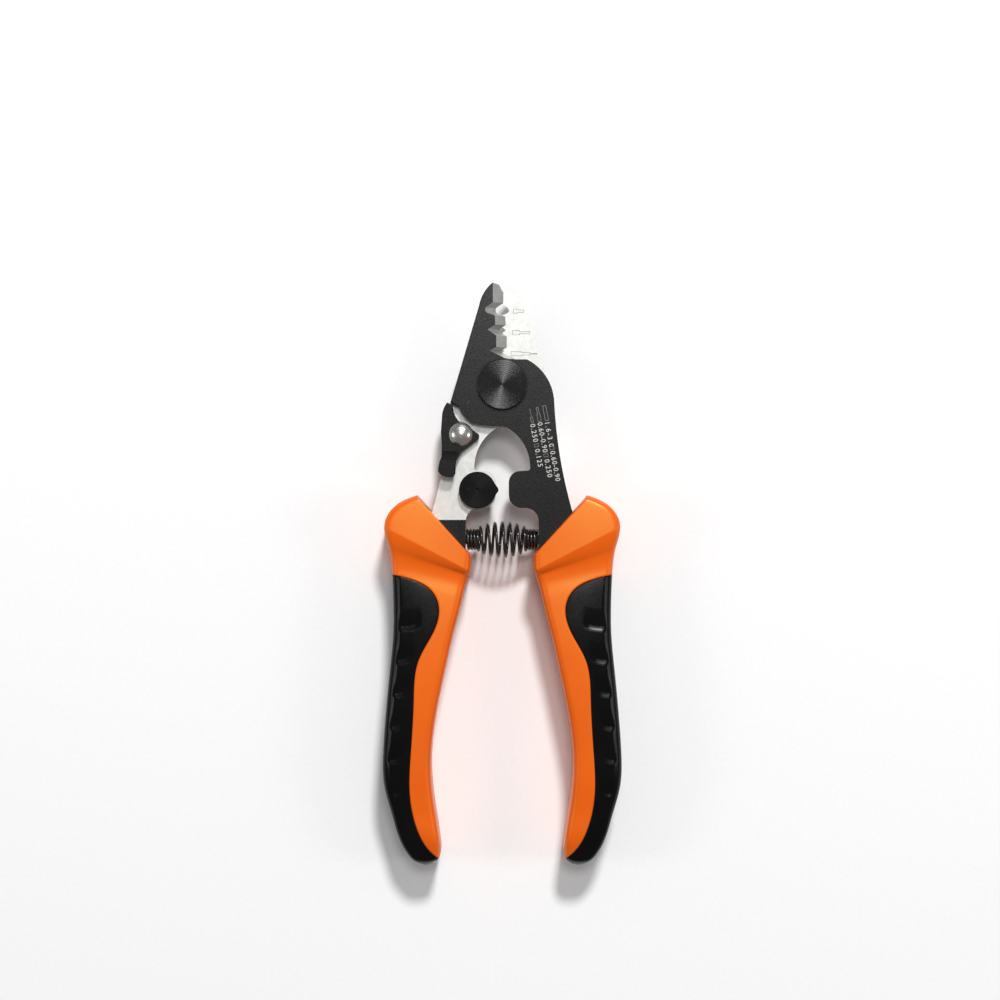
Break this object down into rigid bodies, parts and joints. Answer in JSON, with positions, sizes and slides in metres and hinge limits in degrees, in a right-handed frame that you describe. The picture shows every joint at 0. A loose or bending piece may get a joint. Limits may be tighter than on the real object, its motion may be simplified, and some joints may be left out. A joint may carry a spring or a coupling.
{
  "type": "fibre stripper",
  "caption": "Hand-held fibre stripper with lapped notched jaws, lock lever, stop disc, barrel spring and two-material handles.",
  "frame": {"origin": "centre of the tool's box in plan, on the surface that the tool lies on", "axes": "+Y towards the blade tips, +Z out of the front face, +X to the right seen from the front"},
  "size_m": [0.067, 0.1644, 0.019],
  "materials": {
    "black_steel": "satin black oxide on ground steel",
    "ground_steel": "bare ground lap face, black oxide elsewhere",
    "bright_steel": "bright turned steel",
    "spring_steel": "glossy black coated wire",
    "orange_plastic": "satin moulded orange plastic",
    "black_rubber": "soft matt black grip"
  },
  "bodies": {
    "rear_half": {"rear_jaw": "ground_steel", "left_handle": "orange_plastic", "left_grip": "black_rubber", "pivot_post": "black_steel", "pivot_washer": "black_steel", "pivot_screw": "black_steel", "lock_washer": "bright_steel", "lock_rivet": "bright_steel", "stop_disc": "black_steel", "stop_screw": "black_steel", "return_spring": "spring_steel"},
    "front_half": {"front_jaw": "black_steel", "right_handle": "orange_plastic", "right_grip": "black_rubber"},
    "lock": {"lock_lever": "black_steel"}
  },
  "joints": [
    {"name": "jaw_pivot", "type": "hinge", "parent": "rear_half", "child": "front_half", "pos_m": [0, 0.0534, 0.0095], "axis": [0, 0, 1], "range_deg": [-5.2, 13], "deforming": ["return_spring"]},
    {"name": "lock_turn", "type": "hinge", "parent": "rear_half", "child": "lock", "pos_m": [-0.01167, 0.03935, 0.0095], "axis": [0, 0, 1], "range_deg": [-8.32, 20.8]}
  ],
  "couplings": [
    {"joint": "lock_turn", "follows": "jaw_pivot", "ratio": 1.6}
  ]
}
